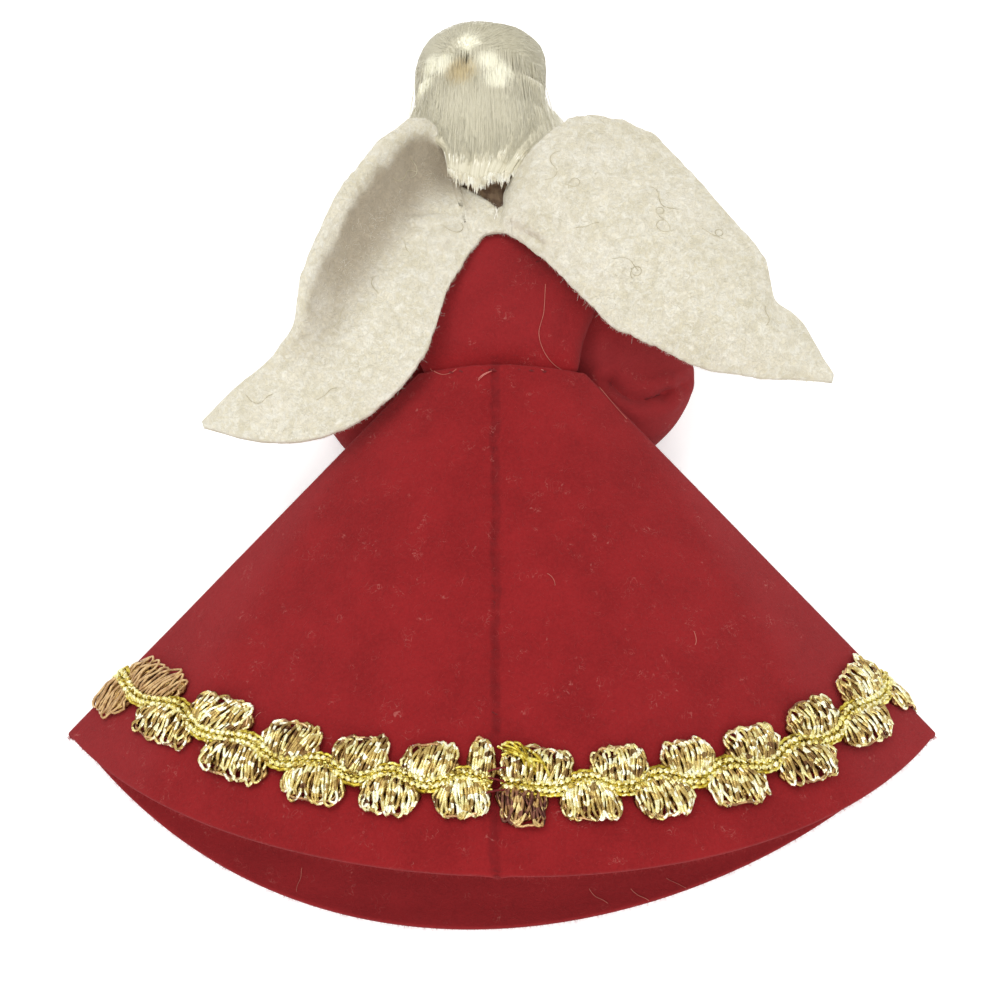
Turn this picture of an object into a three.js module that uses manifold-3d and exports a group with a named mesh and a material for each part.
// Felt angel figurine, lying face down: +Z is up from the table, +Y runs to the head, lengths in millimetres
import * as THREE from 'three';
import { mergeVertices } from 'three/addons/utils/BufferGeometryUtils.js';
import Module from 'manifold-3d';

// Driving dimensions: materials
const felt = 1.2; // thickness of the red felt
const wingFelt = 1.2; // thickness of the cream felt
const clearance = 0.3; // space between pieces that touch
const threadRadius = 0.28;
const restFlat = 0.5; // how deep a soft form is pressed flat by the table

// Skirt: a half circle of felt rolled to a cone and pressed to a lens section
const hemRadius = 99.5; // from the cone's tip to the hem
const tipY = 32.6; // where the cone's tip would be
const sideAngle = THREE.MathUtils.degToRad(44);
const waistDrop = 14; // from the tip to the cut top edge
const foldRadius = 0.7; // inside radius of the two pressed side folds
const waistBackZ = 23.5;
const waistFrontZ = 15;
const hemBackZ = 33.6;
const hemSideZ = 1.3;
const seamGap = 0.3;
const stitchPitch = 2.6;
const stitchReach = 1.1;

// Hem braid: scalloped loops on both sides of a wavy plaited cord
const braidPeriods = 24;
const braidRise = 14.6; // from the hem to the middle of the braid, at the middle of each side
const braidSag = 3; // how much nearer the hem it runs at the side folds
const braidLoop = 5.6; // how far a fan of loops reaches from the cord
const braidThick = 1.5;
const cordRadius = 0.95;
const cordWave = 0.75;
const braidEndGap = 1.4;
const trimSeat = 0.45; // space under the braid, which bridges the felt's bends

// Bodice and torso
const bodyX = -0.2; // the bodice's middle, beside the skirt's
const waistTuck = 4; // how far the bodice goes down into the skirt
const bodiceLength = 37;
const bodiceHalfWidth = 12.8;
const bodiceHalfDepth = 6.2;
const neckZ = 14.2;
const neckX = -2.4;

// Head, hair and neck
const headX = -3.8;
const headY = 66;
const headRadius = 9.5;
const hairCapThick = 1.1;
const rollRadius = 11.6;
const rollTop = 20.4; // from the head's centre to the crown of the roll
const rollDimple = 1.6;
const fallThick = 1.6;
const dowelRadius = 1.8;

// Arms
const armSpan = 30; // from the shoulder to the elbow
const sleeveHalfWidth = 6.8;
const sleeveHalfDepth = 3.1;
const shoulderOut = 15.5; // from the body's middle to the sleeve's head
const shoulderY = 41.5;
const armRadius = 1;
const handLength = 8;
const handHalfWidth = 3;

// Wings
const wingReach = 52; // from the bridge to the tip, sideways
const wingFall = 36; // from the bridge to the lower tip, along the body
const wingLift = 7.2; // how high the curled edge stands above the bridge
const bendGap = 0.7; // between the bridge and each wing, which turns there
const bridgeHalfWidth = 1.2;
const bridgeTopY = 46.6;
const bridgeBottomY = 42.3;
const bridgeX = -0.9;

const wasm = await Module();
wasm.setup();

const lerp = THREE.MathUtils.lerp;
const vec = (x, y, z) => new THREE.Vector3(x, y, z);

// A closed body from points and faces, turned to face out
function closedBody(points, faces) {
  const wedge = ([a, b, c]) => points[a].dot(vec(0, 0, 0).crossVectors(points[b], points[c]));
  const volume = faces.reduce((sum, face) => sum + wedge(face), 0);
  const index = faces.flatMap(([a, b, c]) => (volume > 0 ? [a, b, c] : [a, c, b]));
  const geometry = new THREE.BufferGeometry();
  geometry.setAttribute('position', new THREE.Float32BufferAttribute(points.flatMap((p) => p.toArray()), 3));
  geometry.setIndex(index);
  return geometry;
}

// A sheet with thickness: the space between two like grids of points, each grid[column][row]
function sheetBody(outer, inner, wrap = false) {
  const columns = outer.length;
  const rows = outer[0].length;
  const points = [...outer.flat(), ...inner.flat()];
  const at = (i, j) => (i % columns) * rows + j;
  const under = (i, j) => at(i, j) + columns * rows;
  const faces = [];
  const quad = (a, b, c, d) => faces.push([a, b, c], [a, c, d]);
  const spans = wrap ? columns : columns - 1;
  for (let i = 0; i < spans; i += 1) {
    for (let j = 0; j < rows - 1; j += 1) {
      quad(at(i, j), at(i + 1, j), at(i + 1, j + 1), at(i, j + 1));
      quad(under(i, j + 1), under(i + 1, j + 1), under(i + 1, j), under(i, j));
    }
    quad(at(i + 1, 0), at(i, 0), under(i, 0), under(i + 1, 0));
    quad(at(i, rows - 1), at(i + 1, rows - 1), under(i + 1, rows - 1), under(i, rows - 1));
  }
  for (let j = 0; j < rows - 1 && !wrap; j += 1) {
    const last = columns - 1;
    quad(at(0, j), at(0, j + 1), under(0, j + 1), under(0, j));
    quad(at(last, j + 1), at(last, j), under(last, j), under(last, j + 1));
  }
  return closedBody(points, faces);
}

// A solid skinned over rings of points, closed at both ends
function skinnedBody(rings) {
  const sides = rings[0].length;
  const points = rings.flat();
  const faces = [];
  for (let i = 0; i < rings.length - 1; i += 1) {
    for (let j = 0; j < sides; j += 1) {
      const next = (j + 1) % sides;
      const [a, b] = [i * sides + j, i * sides + next];
      const [c, d] = [a + sides, b + sides];
      faces.push([a, b, d], [a, d, c]);
    }
  }
  const capEnd = (ring, turned) => {
    const start = points.indexOf(ring[0]);
    const middle = points.push(ring.reduce((sum, p) => sum.add(p), vec(0, 0, 0)).divideScalar(sides)) - 1;
    for (let j = 0; j < sides; j += 1) {
      const [a, b] = [start + j, start + ((j + 1) % sides)];
      faces.push(turned ? [middle, b, a] : [middle, a, b]);
    }
  };
  capEnd(rings[0], true);
  capEnd(rings[rings.length - 1], false);
  return closedBody(points, faces);
}

const columnsOf = (rings) => rings[0].map((_, j) => rings.map((ring) => ring[j]));

function toSolid(geometry) {
  const bare = geometry.clone();
  bare.deleteAttribute('normal');
  bare.deleteAttribute('uv');
  const merged = mergeVertices(bare);
  const vertProperties = new Float32Array(merged.attributes.position.array);
  const triVerts = new Uint32Array(merged.index.array);
  return new wasm.Manifold(new wasm.Mesh({ numProp: 3, vertProperties, triVerts }));
}

function toGeometry(solid) {
  const mesh = solid.getMesh();
  const geometry = new THREE.BufferGeometry();
  geometry.setAttribute('position', new THREE.BufferAttribute(new Float32Array(mesh.vertProperties), 3));
  geometry.setIndex(new THREE.BufferAttribute(new Uint32Array(mesh.triVerts), 1));
  return geometry;
}

const cutAway = (geometry, ...tools) =>
  toGeometry(tools.reduce((solid, tool) => solid.subtract(toSolid(tool)), toSolid(geometry)));

// A soft form pressed flat where it lies on the table
function pressedFlat(geometry) {
  geometry.computeBoundingBox();
  const { min, max } = geometry.boundingBox;
  const size = vec(0, 0, 0).subVectors(max, min).multiplyScalar(2);
  const slab = new THREE.BoxGeometry(size.x, size.y, size.z);
  slab.translate((min.x + max.x) / 2, (min.y + max.y) / 2, -size.z / 2);
  return cutAway(geometry, slab);
}

function circleShape(radius, sides) {
  const corner = (_, k) => new THREE.Vector2(radius, 0).rotateAround(new THREE.Vector2(), (k * 2 * Math.PI) / sides);
  return new THREE.Shape(Array.from({ length: sides }, corner));
}

// A round cord along a smooth curve through its points
function cord(points, radius, sides, steps, tension = 0.5) {
  const path = new THREE.CatmullRomCurve3(points, false, 'catmullrom', tension);
  const shape = circleShape(radius, sides);
  return new THREE.ExtrudeGeometry(shape, { steps, extrudePath: path, bevelEnabled: false });
}

// The values of a table of stations at a share between them
function sizeAlong(table, t) {
  const k = Math.max(1, table.findIndex(([at]) => at >= t));
  const [from, to] = [table[k - 1], table[k]];
  const share = (t - from[0]) / (to[0] - from[0]);
  return from.map((value, c) => lerp(value, to[c], share));
}

// Skirt surface. The loop place runs 0 to 1 from the back seam, round by the right fold and the front, to the seam
const outsideRadius = foldRadius + felt;
const hemSideCentreZ = hemSideZ + outsideRadius;
const foldHeightShare = 0.42; // where the side folds meet the waist, from its front up to its back
const waistSideZ = lerp(waistFrontZ, waistBackZ, foldHeightShare);
const waistHalfWidth = waistDrop * Math.tan(sideAngle);
const foldSpan = 0.02; // share of the loop that each side fold takes
const backSpan = 0.24; // share of the loop on each side of the seam
const seamWaistShare = -0.12; // the seam's place across the half width at the waist
const seamHemShare = -0.01;
const hemWave = { back: [-0.01, 0.004], front: [0.011, -0.0134] }; // hem length changes, as shares of the radius

function loopPlace(place, rise) {
  const seam = lerp(seamWaistShare, seamHemShare, rise);
  const fromRight = place < 0.5;
  const along = fromRight ? place : 1 - place;
  const sign = fromRight ? 1 : -1;
  if (along < backSpan) return { side: 'back', across: lerp(seam, sign, along / backSpan) };
  if (along < backSpan + foldSpan) return { side: 'fold', across: sign, turn: (along - backSpan) / foldSpan };
  return { side: 'front', across: sign * ((0.5 - along) / (0.5 - backSpan - foldSpan)) };
}

function hemPoint(across, face) {
  const angle = sideAngle * across;
  const [lengthShare, skewShare] = hemWave[face];
  const bow = 1 - across * across;
  const waveShare = lengthShare * bow + skewShare * Math.sin(Math.PI * across);
  const radius = hemRadius * (1 + waveShare) - outsideRadius * (1 - bow);
  const top = hemBackZ - outsideRadius - hemSideCentreZ;
  const bottom = hemSideCentreZ - (outsideRadius - restFlat);
  const z = hemSideCentreZ + (face === 'back' ? top : -bottom) * bow;
  const level = Math.sqrt(radius ** 2 - (z - waistSideZ) ** 2);
  return vec(level * Math.sin(angle), tipY - level * Math.cos(angle), z);
}

function waistPoint(across, face) {
  const bow = 1 - across * across;
  const depth = face === 'back' ? waistBackZ - waistSideZ - outsideRadius : waistFrontZ - waistSideZ + outsideRadius;
  return vec((waistHalfWidth - outsideRadius) * across, tipY - waistDrop, waistSideZ + depth * bow);
}

// The felt's outside direction at a place, in the upright plane across the figure
function skirtNormal(across, face, rise) {
  const stepShare = 1e-3;
  const from = waistPoint(across - stepShare, face).lerp(hemPoint(across - stepShare, face), rise);
  const to = waistPoint(across + stepShare, face).lerp(hemPoint(across + stepShare, face), rise);
  const slope = to.sub(from);
  const normal = vec(-slope.z, 0, slope.x).normalize();
  return face === 'back' ? normal : normal.negate();
}

const foldSlant = 1 / Math.cos(sideAngle) - 1;

// A point on the skirt: rise is 0 at the waist and 1 at the hem, out is the distance from the fold's centre line
function skirtPoint(place, rise, out) {
  const { side, across, turn } = loopPlace(place, rise);
  const face = side === 'front' ? 'front' : 'back';
  const base = waistPoint(across, face).lerp(hemPoint(across, face), rise);
  let normal = skirtNormal(across, face, rise);
  if (side === 'fold') {
    const below = skirtNormal(across, 'front', rise);
    const sweep = Math.acos(THREE.MathUtils.clamp(normal.dot(below), -1, 1)) * turn * across;
    normal = normal.applyAxisAngle(vec(0, 1, 0), sweep);
  }
  // whatever lies on the felt counts its distance square to the felt, which slants at the side folds
  const beyond = Math.max(0, out - outsideRadius);
  return base.addScaledVector(normal, out + beyond * foldSlant * normal.x ** 2);
}

// The share of the way down the skirt that lies a given distance above the hem
function riseAt(place, aboveHem) {
  const length = skirtPoint(place, 0, outsideRadius).distanceTo(skirtPoint(place, 1, outsideRadius));
  return 1 - aboveHem / length;
}

// The braid dips towards the hem at the side folds, as straight trim does on a cone
const braidMiddle = (place) => braidRise - braidSag * loopPlace(place, 1).across ** 2;

function spread(from, to, count) {
  return Array.from({ length: count + 1 }, (_, k) => lerp(from, to, k / count));
}

const loopPlaces = [
  ...spread(0, backSpan, 14),
  ...spread(backSpan, backSpan + foldSpan, 4).slice(1),
  ...spread(backSpan + foldSpan, 1 - backSpan - foldSpan, 24).slice(1),
  ...spread(1 - backSpan - foldSpan, 1 - backSpan, 4).slice(1),
  ...spread(1 - backSpan, 1, 14).slice(1),
];

function skirt() {
  const rises = spread(0, 1, 7);
  const seamShift = (place, rise, out) => {
    const point = skirtPoint(place, rise, out);
    if (place === 0) point.x += seamGap / 2;
    if (place === 1) point.x -= seamGap / 2;
    return point;
  };
  const grid = (out) => loopPlaces.map((place) => rises.map((rise) => seamShift(place, rise, out)));
  return pressedFlat(sheetBody(grid(outsideRadius), grid(foldRadius)));
}

// Whip stitches that cross the back seam, as one thread; under the braid it runs straight between the butted ends
function skirtSeamThread() {
  const length = skirtPoint(0, 0, outsideRadius).distanceTo(skirtPoint(0, 1, outsideRadius));
  const count = Math.floor(length / stitchPitch);
  const out = outsideRadius + clearance + threadRadius;
  const covered = cordRadius + braidLoop + cordWave + stitchPitch;
  const stitchSlantShare = 0.3;
  const points = [];
  for (let k = 2; k < count; k += 1) {
    const rise = k / count;
    const underBraid = Math.abs((1 - rise) * length - braidRise) < covered;
    const half = skirtPoint(backSpan, rise, 0).x;
    const reach = underBraid ? 0 : (stitchReach / half) * backSpan;
    points.push(skirtPoint(1 - reach, rise, out));
    if (!underBraid) points.push(skirtPoint(reach, rise + stitchSlantShare / count, out));
  }
  return cord(points, threadRadius, 4, Math.round(points.length * 1.6), 0.2);
}

// Places at even lengths along the loop at the braid's height
function braidPlaces(samples) {
  const fine = spread(0, 1, 600);
  const out = outsideRadius + trimSeat;
  const points = fine.map((place) => skirtPoint(place, riseAt(place, braidMiddle(place)), out));
  const lengths = [0];
  for (let k = 1; k < points.length; k += 1) lengths.push(lengths[k - 1] + points[k].distanceTo(points[k - 1]));
  const total = lengths[lengths.length - 1];
  const placeAt = (length) => {
    const k = Math.max(1, lengths.findIndex((value) => value >= length));
    return lerp(fine[k - 1], fine[k], (length - lengths[k - 1]) / (lengths[k] - lengths[k - 1]));
  };
  return spread(braidEndGap / 2, total - braidEndGap / 2, samples).map((length) => placeAt(Math.min(length, total)));
}

const samplesPerPeriod = 8;
const places = braidPlaces(braidPeriods * samplesPerPeriod);
const phaseOf = (k) => k / samplesPerPeriod;
const waveAt = (phase) => cordWave * Math.cos(2 * Math.PI * phase);

// Loops on one side of the cord: side 1 reaches up to the waist, side -1 down to the hem
function braidLoops(side) {
  const edge = cordRadius + trimSeat;
  const notchShare = 0.3;
  const heightShares = [0.95, 1, 0.45];
  const pressedShare = 0.45; // of the loops' thickness where the side folds press them flat
  const column = (out) => places.map((place, k) => {
    const phase = phaseOf(k) + (side > 0 ? 0 : 0.5);
    const fan = Math.sqrt(1 - Math.abs(2 * (phase - Math.floor(phase)) - 1) ** 2.4);
    const reach = braidLoop * lerp(notchShare, 1, fan);
    const atFold = loopPlace(place, 1).side === 'fold';
    return heightShares.map((heightShare, row) => {
      const away = edge * (atFold ? 1 + foldSlant : 1) + (reach * row) / (heightShares.length - 1);
      const aboveHem = braidMiddle(place) + side * away + waveAt(phaseOf(k));
      const height = out * heightShare * (atFold ? pressedShare : 1);
      return skirtPoint(place, riseAt(place, aboveHem), outsideRadius + trimSeat + height);
    });
  });
  return pressedFlat(sheetBody(column(braidThick), column(0)));
}

function braidCord() {
  const out = outsideRadius + trimSeat + cordRadius;
  const points = places.map((place, k) => {
    const aboveHem = braidMiddle(place) + waveAt(phaseOf(k));
    return skirtPoint(place, riseAt(place, aboveHem), out);
  });
  return pressedFlat(cord(points, cordRadius, 5, braidPeriods * samplesPerPeriod));
}

// One thread tacks the butted ends of the braid: three legs across them, joined by round turns
function braidEndTack() {
  const legHalf = 2 * cordRadius;
  const turnRadius = 3 * threadRadius;
  const route = [];
  [1, -1, 1].forEach((side, leg) => {
    const up = 2 * turnRadius * (1 - leg);
    spread(-legHalf, legHalf, 4).forEach((across) => route.push([side * across, up]));
    if (leg < 2) {
      [45, 90, 135].map(THREE.MathUtils.degToRad).forEach((turn) => {
        route.push([side * (legHalf + turnRadius * Math.sin(turn)), up - turnRadius * (1 - Math.cos(turn))]);
      });
    }
  });
  const out = outsideRadius + trimSeat + clearance + 2 * cordRadius + threadRadius;
  const half = skirtPoint(backSpan, riseAt(0, braidRise), 0).x;
  const points = route.map(([across, up]) => {
    const place = ((across / half) * backSpan + 1) % 1;
    return skirtPoint(place, riseAt(place, braidRise + up), out);
  });
  return cord(points, threadRadius, 4, 2 * points.length);
}

// Running stitches along the waist, just below the skirt's top edge
function waistThread() {
  const reachShare = 0.16; // of the loop, on each side of the seam
  const riseShares = [0.018, 0.03];
  const stitches = 18;
  const out = outsideRadius + clearance + threadRadius;
  const points = spread(-reachShare, reachShare, stitches).map((offset, k) => {
    const place = offset < 0 ? 1 + offset : offset;
    return skirtPoint(place, riseShares[k % 2], out);
  });
  return cord(points, threadRadius, 4, points.length * 2, 0.3);
}

// Torso: the bodice's sections from the tuck in the skirt up to the neck
const bodiceBottomY = tipY - waistDrop - waistTuck;
const bodiceStations = [
  // share up the bodice, share of half width, share of half depth, share of the way from waist to neck
  [0, 0.8, 0.29, 0],
  [0.11, 0.82, 0.32, 0.02],
  [0.2, 1, 0.6, 0.2],
  [0.36, 0.99, 0.86, 0.4],
  [0.55, 0.93, 1, 0.6],
  [0.74, 0.8, 1, 0.8],
  [0.89, 0.58, 0.92, 0.93],
  [1, 0.4, 0.72, 1],
];
const waistMiddleZ = (waistBackZ + waistFrontZ) / 2;

// A point on the bodice's section: up is the share of its length, out is the distance from its outer face
function bodyPoint(up, angle, out) {
  const [, width, depth, share] = sizeAlong(bodiceStations, up);
  const x = lerp(bodyX, neckX, share) + (bodiceHalfWidth * width + out) * Math.cos(angle);
  const z = lerp(waistMiddleZ, neckZ, share) + (bodiceHalfDepth * depth + out) * Math.sin(angle);
  return vec(x, bodiceBottomY + bodiceLength * up, z);
}

function bodyRings(inset, sides, fromShare = 0, toShare = 1) {
  const corner = (up) => (_, k) => bodyPoint(up, (k * 2 * Math.PI) / sides, -inset);
  return bodiceStations
    .map(([up]) => up)
    .filter((up) => up >= fromShare && up <= toShare)
    .map((up) => Array.from({ length: sides }, corner(up)));
}

const bodice = () => sheetBody(columnsOf(bodyRings(0, 28)), columnsOf(bodyRings(felt, 28)), true);

const headZ = rollRadius - restFlat;
const headCentre = vec(headX, headY, headZ);
const dowelDepth = 8; // how far the dowel goes down below the shoulders
const dowelTop = vec(headX, headY - headRadius * 0.3, headZ);
const dowelFoot = vec(bodyX, shoulderY - dowelDepth, lerp(waistMiddleZ, neckZ, 0.62));

function rod(from, to, radius, sides) {
  const length = from.distanceTo(to);
  const geometry = new THREE.CylinderGeometry(radius, radius, length, sides);
  const turn = new THREE.Quaternion().setFromUnitVectors(vec(0, 1, 0), vec(0, 0, 0).subVectors(to, from).normalize());
  geometry.applyQuaternion(turn);
  return geometry.translate((from.x + to.x) / 2, (from.y + to.y) / 2, (from.z + to.z) / 2);
}

const neckDowel = () => rod(dowelFoot, dowelTop, dowelRadius, 16);

function dowelBore() {
  const reach = vec(0, 0, 0).subVectors(dowelTop, dowelFoot).normalize().multiplyScalar(clearance);
  return rod(dowelFoot.clone().sub(reach), dowelTop.clone().add(reach), dowelRadius + clearance, 16);
}

const torsoStuffing = () => cutAway(skinnedBody(bodyRings(felt + 2 * clearance, 24, 0.15, 0.95)), dowelBore());

function headBall() {
  const ball = new THREE.SphereGeometry(headRadius, 24, 14);
  ball.translate(...headCentre.toArray());
  return cutAway(ball, dowelBore());
}

// Hair: floss wound on the back and sides of the head, open at the face
function hairCap() {
  const inside = headRadius + clearance;
  const outside = inside + hairCapThick;
  const shellOf = (radius) => new THREE.SphereGeometry(radius, 24, 14).translate(...headCentre.toArray());
  const faceOpening = new THREE.BoxGeometry(outside * 1.5, outside * 1.7, outside);
  faceOpening.translate(headX, headY - outside * 0.25, headZ - outside * 0.75);
  const neckOpening = new THREE.BoxGeometry(outside * 3, outside, outside * 3);
  neckOpening.translate(headX, headY - outside * 1.2, headZ);
  const crownCut = new THREE.BoxGeometry(outside * 3, outside, outside * 3);
  crownCut.translate(headX, rollBottomY - clearance + outside / 2, headZ);
  return cutAway(shellOf(outside), shellOf(inside), faceOpening, neckOpening, crownCut);
}

// Roll: a thick coil of floss on the crown, turned about the head's long axis, with the dimple where it winds in
const rollShares = [
  // share of the roll's radius, share of its height above the head's centre
  [0.9, 0.142],
  [0.96, 0.2],
  [0.99, 0.32],
  [1, 0.52],
  [0.96, 0.72],
  [0.84, 0.87],
  [0.62, 0.96],
  [0.32, 0.993],
  [0, 1],
];
const rollBottomY = headY + rollTop * rollShares[0][1];

function hairRoll() {
  const seat = headRadius + clearance;
  const seatStart = Math.acos((rollBottomY - headY) / seat);
  const seatPoint = (angle) => new THREE.Vector2(seat * Math.sin(angle), seat * Math.cos(angle));
  const inside = spread(0, seatStart, 6).map(seatPoint);
  const outside = rollShares.map(([radius, height]) => new THREE.Vector2(rollRadius * radius, rollTop * height));
  const roll = new THREE.LatheGeometry([...inside, ...outside], 30);
  roll.translate(...headCentre.toArray());
  const dimple = new THREE.SphereGeometry(rollDimple, 12, 8);
  dimple.translate(headX - rollRadius * 0.28, headY + rollTop * 0.42, headZ + rollRadius * 0.96);
  return pressedFlat(cutAway(roll, dimple));
}

// Fall: floss combed down over the back of the head to a cut fringe at the nape
const fallShares = [
  // share from crown to fringe, share of the head's radius, half angle in degrees,
  // then shares of the back height, the drift sideways and the thickness
  [0, 1.3, 62, 1.03, 0.15, 0.3],
  [0.14, 1.62, 51, 1.05, 0.7, 0.6],
  [0.32, 1.66, 50, 1.09, 0.8, 0.9],
  [0.52, 1.66, 38, 1.13, 0.95, 1],
  [0.68, 1.8, 22, 1.16, 1.1, 1],
  [0.84, 1.9, 17, 1.18, 1, 1],
  [1, 2.1, 14, 1.19, 0.8, 0.9],
];
const fallLength = 17.6;
const fringeSlantShare = 0.34;
const fallDrift = 2.4;

function hairFall() {
  const topY = rollBottomY - clearance;
  const seat = headRadius + hairCapThick + 2 * clearance;
  const ring = (outside) => fallShares.map(([down, radiusShare, degrees, backShare, driftShare, thickShare]) => {
    const radius = headRadius * radiusShare;
    const thick = outside ? fallThick * thickShare : 0;
    const top = headZ + seat * backShare;
    const half = THREE.MathUtils.degToRad(degrees);
    return spread(-half, half, 16).map((angle) => {
      const x = headX + fallDrift * driftShare + (radius + thick) * Math.sin(angle);
      const slant = Math.max(0, x - headX) * fringeSlantShare * down ** 3;
      return vec(x, topY - fallLength * down + slant, top - radius + (radius + thick) * Math.cos(angle));
    });
  });
  return sheetBody(ring(true), ring(false));
}

// Wings: ruled between an inner edge, to the skirt, and an outer edge, to the hair, from the bridge to the tip
const leftOuterShares = [
  // share of the reach, share of the length along the body, share of the lift
  [0, 0, 0],
  [0.05, 0.06, 0.034],
  [0.1, 0.1, 0.097],
  [0.13, 0.18, 0.207],
  [0.148, 0.3, 0.345],
  [0.168, 0.38, 0.552],
  [0.215, 0.4, 0.759],
  [0.317, 0.265, 0.966],
  [0.392, 0.11, 1],
  [0.466, -0.065, 1],
  [0.552, -0.405, 0.966],
  [0.606, -0.64, 0.621],
  [0.686, -0.775, 0.083],
  [0.753, -0.865, -0.103],
  [0.858, -1.015, -0.276],
];
const leftInnerShares = [
  [0, 0, 0],
  [0.01, -0.02, 0],
  [0.022, -0.05, 0.014],
  [0.036, -0.08, 0.041],
  [0.05, -0.11, 0.083],
  [0.075, -0.185, 0.138],
  [0.113, -0.3, 0.207],
  [0.143, -0.45, 0.248],
  [0.173, -0.595, 0.262],
  [0.233, -0.735, 0.207],
  [0.323, -0.86, 0.069],
  [0.414, -0.945, -0.034],
  [0.55, -1.005, -0.117],
  [0.702, -0.99, -0.207],
  [0.852, -0.925, -0.276],
];
const rightOuterShares = [
  [0, 0, 0],
  [0.014, 0.095, 0.041],
  [0.061, 0.18, 0.31],
  [0.108, 0.26, 0.621],
  [0.171, 0.375, 0.6],
  [0.235, 0.44, 0.552],
  [0.33, 0.435, 0.497],
  [0.44, 0.355, 0.483],
  [0.54, 0.185, 0.483],
  [0.665, -0.05, 0.483],
  [0.784, -0.275, 0.414],
  [0.813, -0.46, 0.207],
  [0.9, -0.555, -0.034],
  [0.966, -0.725, -0.207],
  [0.997, -0.795, -0.241],
];
const rightInnerShares = [
  [0, 0, 0],
  [0.015, -0.01, 0.014],
  [0.029, -0.025, 0.055],
  [0.076, -0.095, 0.172],
  [0.137, -0.195, 0.29],
  [0.198, -0.3, 0.359],
  [0.258, -0.4, 0.393],
  [0.318, -0.5, 0.393],
  [0.409, -0.56, 0.345],
  [0.5, -0.625, 0.276],
  [0.591, -0.68, 0.172],
  [0.714, -0.7, 0.034],
  [0.807, -0.71, -0.069],
  [0.9, -0.705, -0.172],
  [0.99, -0.71, -0.241],
];

const bridgeShare = (bridgeBottomY - bodiceBottomY) / bodiceLength;
const wingZ = bodyPoint(bridgeShare, Math.PI / 2, clearance + wingFelt / 2).z; // the middle of the felt at the bridge

function wingEdge(shares, side, startY) {
  const startX = bridgeX + side * (bridgeHalfWidth + bendGap);
  const points = shares.map(([out, up, lift]) =>
    vec(startX + side * wingReach * out, startY + wingFall * up, wingZ + wingLift * lift));
  return new THREE.CatmullRomCurve3(points);
}

function wing(side, outerShares, innerShares, doming) {
  const columns = 22;
  const rows = 7;
  const outerEdge = wingEdge(outerShares, side, bridgeTopY);
  const innerEdge = wingEdge(innerShares, side, bridgeBottomY);
  const middle = spread(0, 1, columns).map((along) => {
    const from = innerEdge.getPoint(along);
    const to = outerEdge.getPoint(along);
    return spread(0, 1, rows).map((across) => {
      const point = from.clone().lerp(to, across);
      point.z += wingLift * doming(along, across);
      return point;
    });
  });
  const offset = (distance) => middle.map((row, i) => row.map((point, j) => {
    const alongStep = vec(0, 0, 0).subVectors(middle[Math.min(i + 1, columns)][j], middle[Math.max(i - 1, 0)][j]);
    const acrossStep = vec(0, 0, 0).subVectors(row[Math.min(j + 1, rows)], row[Math.max(j - 1, 0)]);
    const normal = alongStep.cross(acrossStep).normalize();
    if (normal.z < 0) normal.negate();
    return point.clone().addScaledVector(normal, distance);
  }));
  return sheetBody(offset(wingFelt / 2), offset(-wingFelt / 2));
}

// The left wing's outer edge curls up beside a shallow valley; the right wing is gently domed
const valleyShare = 0.62;
const domeShare = 0.48;
const leftDoming = (along, across) =>
  -valleyShare * Math.sin(Math.PI * Math.min(1, along * 1.25)) * Math.sin(Math.PI * across ** 2.2);
const rightDoming = (along, across) => domeShare * Math.sin(Math.PI * along) * Math.sin(Math.PI * across);

function wingBridge() {
  const length = bridgeTopY - bridgeBottomY;
  const bridge = new THREE.BoxGeometry(2 * bridgeHalfWidth, length, wingFelt);
  return bridge.translate(bridgeX, bridgeBottomY + length / 2, wingZ);
}

function napeTack() {
  const top = wingZ + wingFelt / 2 + clearance + threadRadius;
  const middleY = (bridgeTopY + bridgeBottomY) / 2;
  const legShares = [[-0.3, 0.9], [0.3, 0.4], [-0.25, -0.1], [0.3, -0.6]];
  const half = (bridgeTopY - bridgeBottomY) / 2;
  const points = legShares.map(([x, y]) => vec(bridgeX + x * bridgeHalfWidth, middleY + y * half, top));
  return cord(points, threadRadius, 5, points.length * 3, 0.2);
}

// Arms: the upper arm runs down beside the bodice, folds under at the elbow, and the forearm comes forward
const armShares = [
  // shares of the arm's span outward, along the body and up from the shoulder
  [0, 0, 0],
  [0.13, -0.33, -0.03],
  [0.29, -0.61, -0.1],
  [0.37, -0.79, -0.17],
  [0.4, -0.886, -0.27],
  [0.32, -0.866, -0.375],
  [0.08, -0.81, -0.4],
  [-0.18, -0.74, -0.4],
];
const leftDrawnIn = 0.9; // the left elbow lies a little nearer the body
const shoulderZ = sleeveHalfDepth - restFlat + armSpan * 0.4;
const sleeveSizes = [
  // share along the sleeve, share of half width, share of half depth
  [0, 0.74, 1.05],
  [0.25, 0.98, 1.2],
  [0.5, 1.02, 1],
  [0.66, 0.98, 0.98],
  [0.8, 0.84, 1],
  [1, 0.72, 1],
];

// The body leans to the side at the shoulders, and the elbows lie evenly beside the waist
const shoulderMiddleX = lerp(bodyX, neckX, 0.75);

const armPoints = (side) => armShares.map(([out, along, up]) => {
  const drawn = side < 0 ? leftDrawnIn : 1;
  const x = lerp(shoulderMiddleX, bodyX, Math.min(1, -along)) + side * (shoulderOut + armSpan * out * drawn);
  return vec(x, shoulderY + armSpan * along, shoulderZ + armSpan * up);
});

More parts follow.
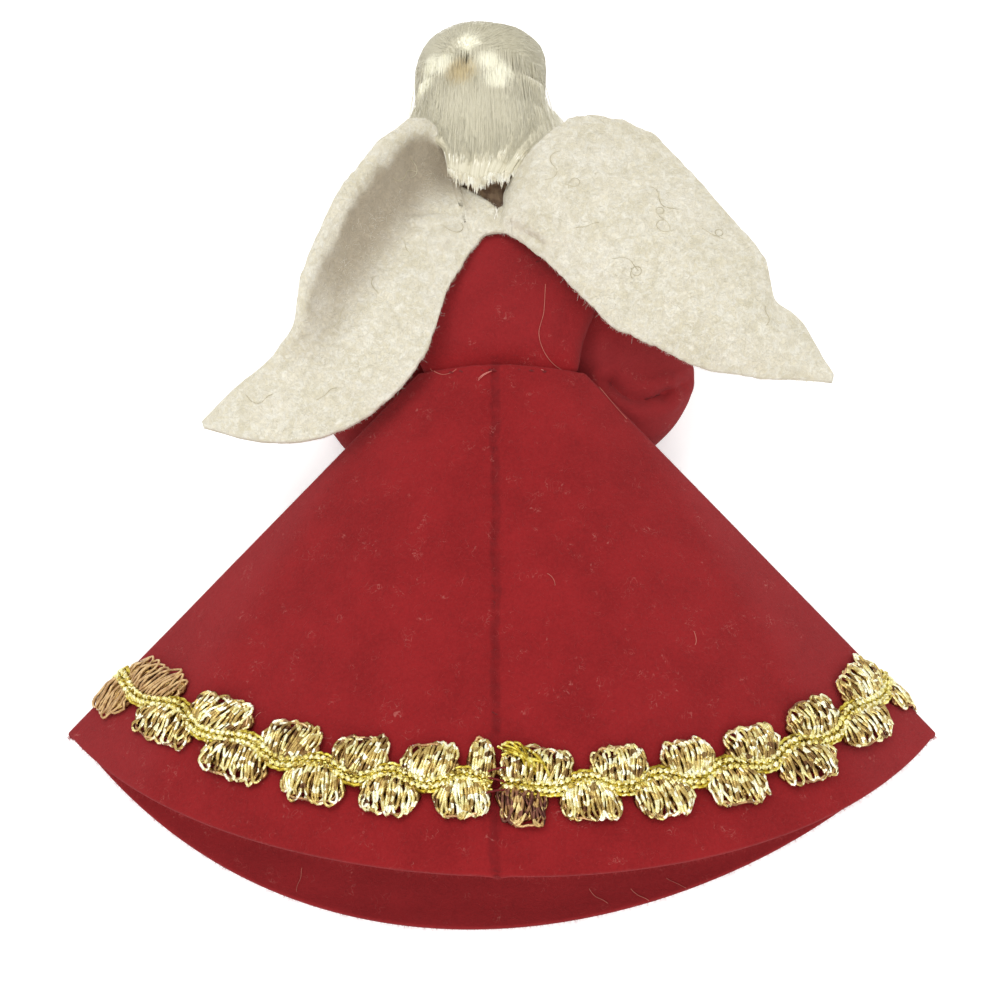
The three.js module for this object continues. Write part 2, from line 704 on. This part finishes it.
function sleeveRings(side, inset, steps, sides) {
  const path = new THREE.CatmullRomCurve3(armPoints(side));
  const startSide = vec(side * 0.91, 0.42, 0);
  const endSide = vec(side * 0.3, 0.95, 0);
  return spread(0, 1, steps).map((t) => {
    const centre = path.getPointAt(t);
    const tangent = path.getTangentAt(t);
    const across = startSide.clone().lerp(endSide, t);
    across.addScaledVector(tangent, -across.dot(tangent)).normalize();
    const up = vec(0, 0, 0).crossVectors(tangent, across);
    const [, width, depth] = sizeAlong(sleeveSizes, t);
    return Array.from({ length: sides }, (_, k) => {
      const angle = (k * 2 * Math.PI) / sides;
      return centre.clone()
        .addScaledVector(across, (sleeveHalfWidth * width - inset) * Math.cos(angle))
        .addScaledVector(up, (sleeveHalfDepth * depth - inset) * Math.sin(angle));
    });
  });
}

const sleeve = (side) => pressedFlat(
  sheetBody(columnsOf(sleeveRings(side, 0, 18, 14)), columnsOf(sleeveRings(side, felt, 18, 14)), true));

const armCore = (side) => cord(armPoints(side), armRadius, 8, 26);

function hand(side) {
  const [before, wrist] = armPoints(side).slice(-2);
  const direction = vec(0, 0, 0).subVectors(wrist, before).normalize();
  const palm = new THREE.SphereGeometry(handLength / 2, 14, 10);
  palm.scale(1, (2 * handHalfWidth) / handLength, (1.5 * handHalfWidth) / handLength);
  palm.rotateZ(Math.atan2(direction.y, direction.x));
  const centre = wrist.clone().addScaledVector(direction, handLength / 2 + clearance);
  palm.translate(...centre.toArray());
  return palm;
}

// Stitches along the top of each armhole
function shoulderThread(side) {
  const steps = 4;
  const points = spread(0.62, 0.76, steps).map((up, k) => {
    const degrees = 90 - side * (k % 2 ? 44 : 40);
    return bodyPoint(up, THREE.MathUtils.degToRad(degrees), clearance + threadRadius);
  });
  return cord(points, threadRadius, 4, steps * 5);
}

// Materials
const redFelt = new THREE.MeshStandardMaterial({ color: 0x982a2c, roughness: 0.95, metalness: 0 });
const creamFelt = new THREE.MeshStandardMaterial({ color: 0xe1dcc8, roughness: 0.95, metalness: 0 });
const floss = new THREE.MeshStandardMaterial({ color: 0xcfcab4, roughness: 0.4, metalness: 0 });
const goldThread = new THREE.MeshStandardMaterial({ color: 0xc8a046, roughness: 0.3, metalness: 0.9 });
const yellowCord = new THREE.MeshStandardMaterial({ color: 0xd2b428, roughness: 0.5, metalness: 0.4 });
const redThread = new THREE.MeshStandardMaterial({ color: 0x6e191c, roughness: 0.7, metalness: 0 });
const whiteThread = new THREE.MeshStandardMaterial({ color: 0xf0ece0, roughness: 0.7, metalness: 0 });
const batting = new THREE.MeshStandardMaterial({ color: 0xf2efe6, roughness: 1, metalness: 0 });
const wood = new THREE.MeshStandardMaterial({ color: 0xc9a878, roughness: 0.7, metalness: 0 });
const skin = new THREE.MeshStandardMaterial({ color: 0xe8c4a8, roughness: 0.7, metalness: 0 });

const figure = new THREE.Group();

function add(name, geometry, material) {
  const mesh = new THREE.Mesh(geometry, material);
  mesh.name = name;
  figure.add(mesh);
}

add('skirt', skirt(), redFelt);
add('skirt_seam_thread', skirtSeamThread(), redThread);
add('waist_thread', waistThread(), redThread);
add('braid_upper_loops', braidLoops(1), goldThread);
add('braid_lower_loops', braidLoops(-1), goldThread);
add('braid_core_cord', braidCord(), yellowCord);
add('braid_end_tack', braidEndTack(), redThread);
add('bodice', bodice(), redFelt);
add('torso_stuffing', torsoStuffing(), batting);
add('neck_dowel', neckDowel(), wood);
add('head_ball', headBall(), skin);
add('hair_cap', hairCap(), floss);
add('hair_roll', hairRoll(), floss);
add('hair_fall', hairFall(), floss);
add('wing_bridge', wingBridge(), creamFelt);
add('nape_tack_thread', napeTack(), whiteThread);
add('left_wing', wing(-1, leftOuterShares, leftInnerShares, leftDoming), creamFelt);
add('right_wing', wing(1, rightOuterShares, rightInnerShares, rightDoming), creamFelt);
for (const [name, side] of [['left', -1], ['right', 1]]) {
  add(`${name}_sleeve`, sleeve(side), redFelt);
  add(`${name}_arm_core`, armCore(side), batting);
  add(`${name}_hand`, hand(side), skin);
  add(`${name}_shoulder_thread`, shoulderThread(side), redThread);
}

// The origin is under the middle of the whole figure, at the table
const extent = new THREE.Box3().setFromObject(figure);
const middle = extent.getCenter(vec(0, 0, 0));
figure.position.set(-middle.x, -middle.y, -extent.min.z);

export default figure;
